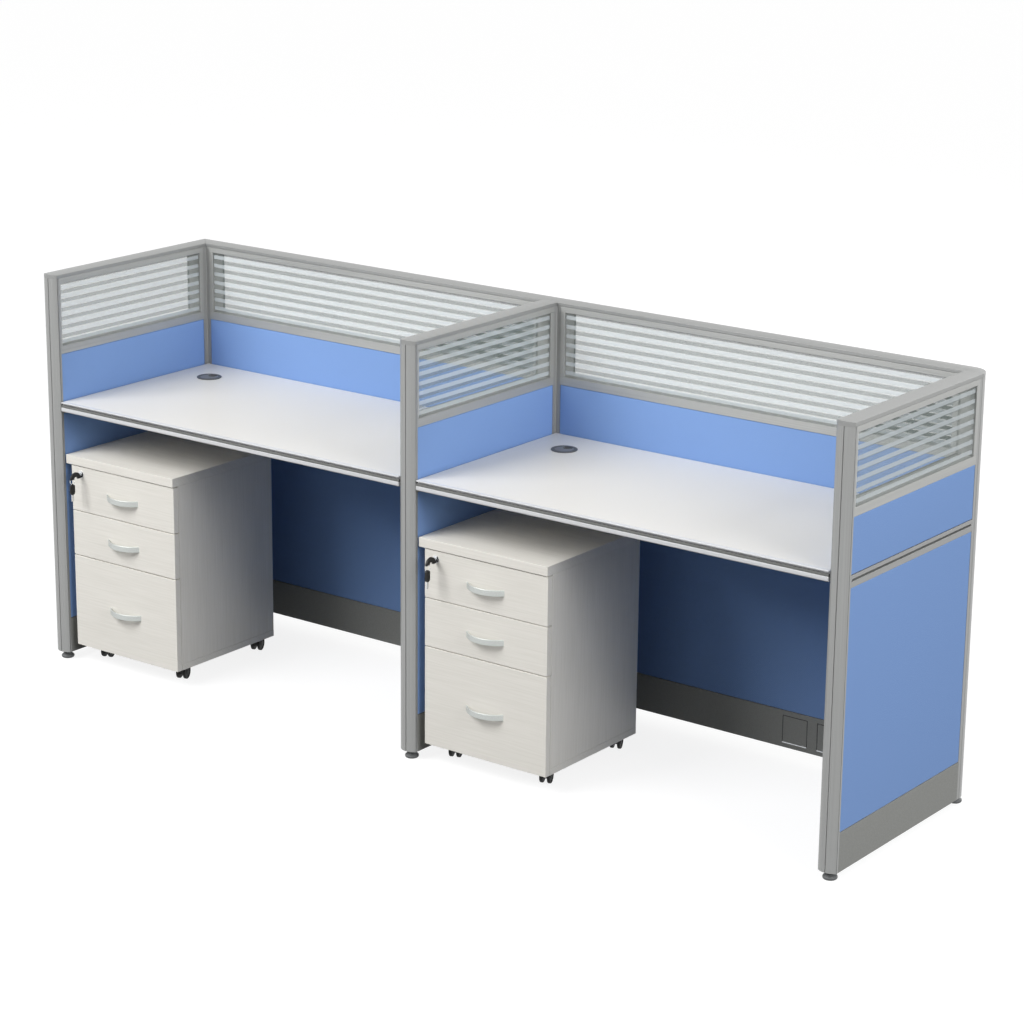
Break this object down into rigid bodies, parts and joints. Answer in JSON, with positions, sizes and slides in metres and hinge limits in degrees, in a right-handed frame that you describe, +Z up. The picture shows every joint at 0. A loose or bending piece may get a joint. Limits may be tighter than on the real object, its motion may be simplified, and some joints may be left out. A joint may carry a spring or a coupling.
{
  "type": "cubicle workstation",
  "caption": "Two-seat office cubicle with fabric and striped glass screens, white desktops and mobile drawer pedestals side by side.",
  "frame": {"origin": "on the floor, at the middle of the footprint's bounding box", "axes": "+X along the row of bays, to the right of a seated user's view of the back screen; +Y from the open side towards the back screen; +Z up"},
  "size_m": [2.55, 0.674, 1.105],
  "materials": {
    "aluminium_profile": "satin anodised extrusion",
    "frame_aluminium": "satin anodised extrusion",
    "striped_glass": "clear float glass with frosted level stripes",
    "blue_fabric": "plain woven polyester panel cloth",
    "kick_plate_metal": "satin grey powder coat",
    "desk_laminate": "white melamine on particle board",
    "desk_edge_plastic": "satin white edge moulding",
    "edge_insert_plastic": "soft grey insert strip",
    "black_painted_steel": "black powder coat",
    "zinc_plated_steel": "zinc plated",
    "grommet_plastic": "moulded grey",
    "foot_plastic": "moulded grey nylon",
    "ash_laminate": "pale ash grain melamine on particle board",
    "runner_steel": "white powder coat",
    "handle_metal": "satin silver",
    "lock_chrome": "polished",
    "black_plastic": "moulded black",
    "castor_nylon": "moulded black nylon"
  },
  "bodies": {
    "root": {"front_end_trims": "aluminium_profile", "corner_posts": "aluminium_profile", "top_caps": "aluminium_profile", "screen_frames": "frame_aluminium", "glass_panes": "striped_glass", "fabric_tiles": "blue_fabric", "slot_rails": "aluminium_profile", "kick_plates": "kick_plate_metal", "desktops": "desk_laminate", "desk_edge_trims": "desk_edge_plastic", "desk_edge_inserts": "edge_insert_plastic", "desk_support_angles": "black_painted_steel", "desk_screws": "zinc_plated_steel", "grommet_rings": "grommet_plastic"},
    "foot_front_left": {"foot_front_left": "foot_plastic"},
    "foot_front_middle": {"foot_front_middle": "foot_plastic"},
    "foot_front_right": {"foot_front_right": "foot_plastic"},
    "foot_back_left": {"foot_back_left": "foot_plastic"},
    "foot_back_middle": {"foot_back_middle": "foot_plastic"},
    "foot_back_right": {"foot_back_right": "foot_plastic"},
    "left_grommet_cap": {"left_grommet_cap": "grommet_plastic"},
    "right_grommet_cap": {"right_grommet_cap": "grommet_plastic"},
    "left_pedestal": {"left_pedestal_carcass": "ash_laminate", "left_drawer_runners": "runner_steel"},
    "left_file_drawer": {"left_file_drawer": "ash_laminate", "left_file_handle": "handle_metal"},
    "left_middle_drawer": {"left_middle_drawer": "ash_laminate", "left_middle_handle": "handle_metal"},
    "left_top_drawer": {"left_top_drawer": "ash_laminate", "left_top_handle": "handle_metal", "left_lock_barrel": "lock_chrome"},
    "left_key": {"left_key_and_plug": "black_plastic"},
    "left_spare_key": {"left_spare_key": "black_plastic"},
    "left_castor_1": {"left_castor_fork_1": "castor_nylon"},
    "left_wheels_1": {"left_castor_wheels_1": "castor_nylon"},
    "left_castor_2": {"left_castor_fork_2": "castor_nylon"},
    "left_wheels_2": {"left_castor_wheels_2": "castor_nylon"},
    "left_castor_3": {"left_castor_fork_3": "castor_nylon"},
    "left_wheels_3": {"left_castor_wheels_3": "castor_nylon"},
    "left_castor_4": {"left_castor_fork_4": "castor_nylon"},
    "left_wheels_4": {"left_castor_wheels_4": "castor_nylon"},
    "right_pedestal": {"right_pedestal_carcass": "ash_laminate", "right_drawer_runners": "runner_steel"},
    "right_file_drawer": {"right_file_drawer": "ash_laminate", "right_file_handle": "handle_metal"},
    "right_middle_drawer": {"right_middle_drawer": "ash_laminate", "right_middle_handle": "handle_metal"},
    "right_top_drawer": {"right_top_drawer": "ash_laminate", "right_top_handle": "handle_metal", "right_lock_barrel": "lock_chrome"},
    "right_key": {"right_key_and_plug": "black_plastic"},
    "right_spare_key": {"right_spare_key": "black_plastic"},
    "right_castor_1": {"right_castor_fork_1": "castor_nylon"},
    "right_wheels_1": {"right_castor_wheels_1": "castor_nylon"},
    "right_castor_2": {"right_castor_fork_2": "castor_nylon"},
    "right_wheels_2": {"right_castor_wheels_2": "castor_nylon"},
    "right_castor_3": {"right_castor_fork_3": "castor_nylon"},
    "right_wheels_3": {"right_castor_wheels_3": "castor_nylon"},
    "right_castor_4": {"right_castor_fork_4": "castor_nylon"},
    "right_wheels_4": {"right_castor_wheels_4": "castor_nylon"}
  },
  "joints": [
    {"name": "foot_front_left_height", "type": "slide", "parent": "root", "child": "foot_front_left", "axis": [0, 0, -1], "range_m": [0, 0.02]},
    {"name": "foot_front_middle_height", "type": "slide", "parent": "root", "child": "foot_front_middle", "axis": [0, 0, -1], "range_m": [0, 0.02]},
    {"name": "foot_front_right_height", "type": "slide", "parent": "root", "child": "foot_front_right", "axis": [0, 0, -1], "range_m": [0, 0.02]},
    {"name": "foot_back_left_height", "type": "slide", "parent": "root", "child": "foot_back_left", "axis": [0, 0, -1], "range_m": [0, 0.02]},
    {"name": "foot_back_middle_height", "type": "slide", "parent": "root", "child": "foot_back_middle", "axis": [0, 0, -1], "range_m": [0, 0.02]},
    {"name": "foot_back_right_height", "type": "slide", "parent": "root", "child": "foot_back_right", "axis": [0, 0, -1], "range_m": [0, 0.02]},
    {"name": "left_grommet_cap_turn", "type": "hinge", "parent": "root", "child": "left_grommet_cap", "pos_m": [-1.105, 0.162, 0.75], "axis": [0, 0, 1], "continuous": true},
    {"name": "right_grommet_cap_turn", "type": "hinge", "parent": "root", "child": "right_grommet_cap", "pos_m": [0.145, 0.162, 0.75], "axis": [0, 0, 1], "continuous": true},
    {"name": "left_pedestal_roll", "type": "slide", "parent": "root", "child": "left_pedestal", "axis": [0, -1, 0], "range_m": [-0.15, 0.6]},
    {"name": "left_file_drawer_slide", "type": "slide", "parent": "left_pedestal", "child": "left_file_drawer", "axis": [0, -1, 0], "range_m": [0, 0.28]},
    {"name": "left_middle_drawer_slide", "type": "slide", "parent": "left_pedestal", "child": "left_middle_drawer", "axis": [0, -1, 0], "range_m": [0, 0.28]},
    {"name": "left_top_drawer_slide", "type": "slide", "parent": "left_pedestal", "child": "left_top_drawer", "axis": [0, -1, 0], "range_m": [0, 0.28]},
    {"name": "left_key_turn", "type": "hinge", "parent": "left_top_drawer", "child": "left_key", "pos_m": [-1.167, -0.294, 0.5515], "axis": [0, -1, 0], "range_deg": [0, 90]},
    {"name": "left_spare_key_swing", "type": "hinge", "parent": "left_key", "child": "left_spare_key", "pos_m": [-1.167, -0.329, 0.5455], "axis": [1, 0, 0], "range_deg": [-40, 15]},
    {"name": "left_castor_1_swivel", "type": "hinge", "parent": "left_pedestal", "child": "left_castor_1", "pos_m": [-1.156, -0.234, 0.05], "axis": [0, 0, 1], "continuous": true},
    {"name": "left_wheels_1_spin", "type": "hinge", "parent": "left_castor_1", "child": "left_wheels_1", "pos_m": [-1.1625, -0.21615, 0.02], "axis": [0.9397, 0.342, 0], "continuous": true},
    {"name": "left_castor_2_swivel", "type": "hinge", "parent": "left_pedestal", "child": "left_castor_2", "pos_m": [-0.866, -0.234, 0.05], "axis": [0, 0, 1], "continuous": true},
    {"name": "left_wheels_2_spin", "type": "hinge", "parent": "left_castor_2", "child": "left_wheels_2", "pos_m": [-0.8725, -0.21615, 0.02], "axis": [0.9397, 0.342, 0], "continuous": true},
    {"name": "left_castor_3_swivel", "type": "hinge", "parent": "left_pedestal", "child": "left_castor_3", "pos_m": [-1.156, 0.073, 0.05], "axis": [0, 0, 1], "continuous": true},
    {"name": "left_wheels_3_spin", "type": "hinge", "parent": "left_castor_3", "child": "left_wheels_3", "pos_m": [-1.1625, 0.09085, 0.02], "axis": [0.9397, 0.342, 0], "continuous": true},
    {"name": "left_castor_4_swivel", "type": "hinge", "parent": "left_pedestal", "child": "left_castor_4", "pos_m": [-0.866, 0.073, 0.05], "axis": [0, 0, 1], "continuous": true},
    {"name": "left_wheels_4_spin", "type": "hinge", "parent": "left_castor_4", "child": "left_wheels_4", "pos_m": [-0.8725, 0.09085, 0.02], "axis": [0.9397, 0.342, 0], "continuous": true},
    {"name": "right_pedestal_roll", "type": "slide", "parent": "root", "child": "right_pedestal", "axis": [0, -1, 0], "range_m": [-0.15, 0.6]},
    {"name": "right_file_drawer_slide", "type": "slide", "parent": "right_pedestal", "child": "right_file_drawer", "axis": [0, -1, 0], "range_m": [0, 0.28]},
    {"name": "right_middle_drawer_slide", "type": "slide", "parent": "right_pedestal", "child": "right_middle_drawer", "axis": [0, -1, 0], "range_m": [0, 0.28]},
    {"name": "right_top_drawer_slide", "type": "slide", "parent": "right_pedestal", "child": "right_top_drawer", "axis": [0, -1, 0], "range_m": [0, 0.28]},
    {"name": "right_key_turn", "type": "hinge", "parent": "right_top_drawer", "child": "right_key", "pos_m": [0.083, -0.294, 0.5515], "axis": [0, -1, 0], "range_deg": [0, 90]},
    {"name": "right_spare_key_swing", "type": "hinge", "parent": "right_key", "child": "right_spare_key", "pos_m": [0.083, -0.329, 0.5455], "axis": [1, 0, 0], "range_deg": [-40, 15]},
    {"name": "right_castor_1_swivel", "type": "hinge", "parent": "right_pedestal", "child": "right_castor_1", "pos_m": [0.094, -0.234, 0.05], "axis": [0, 0, 1], "continuous": true},
    {"name": "right_wheels_1_spin", "type": "hinge", "parent": "right_castor_1", "child": "right_wheels_1", "pos_m": [0.0875, -0.21615, 0.02], "axis": [0.9397, 0.342, 0], "continuous": true},
    {"name": "right_castor_2_swivel", "type": "hinge", "parent": "right_pedestal", "child": "right_castor_2", "pos_m": [0.384, -0.234, 0.05], "axis": [0, 0, 1], "continuous": true},
    {"name": "right_wheels_2_spin", "type": "hinge", "parent": "right_castor_2", "child": "right_wheels_2", "pos_m": [0.3775, -0.21615, 0.02], "axis": [0.9397, 0.342, 0], "continuous": true},
    {"name": "right_castor_3_swivel", "type": "hinge", "parent": "right_pedestal", "child": "right_castor_3", "pos_m": [0.094, 0.073, 0.05], "axis": [0, 0, 1], "continuous": true},
    {"name": "right_wheels_3_spin", "type": "hinge", "parent": "right_castor_3", "child": "right_wheels_3", "pos_m": [0.0875, 0.09085, 0.02], "axis": [0.9397, 0.342, 0], "continuous": true},
    {"name": "right_castor_4_swivel", "type": "hinge", "parent": "right_pedestal", "child": "right_castor_4", "pos_m": [0.384, 0.073, 0.05], "axis": [0, 0, 1], "continuous": true},
    {"name": "right_wheels_4_spin", "type": "hinge", "parent": "right_castor_4", "child": "right_wheels_4", "pos_m": [0.3775, 0.09085, 0.02], "axis": [0.9397, 0.342, 0], "continuous": true}
  ]
}
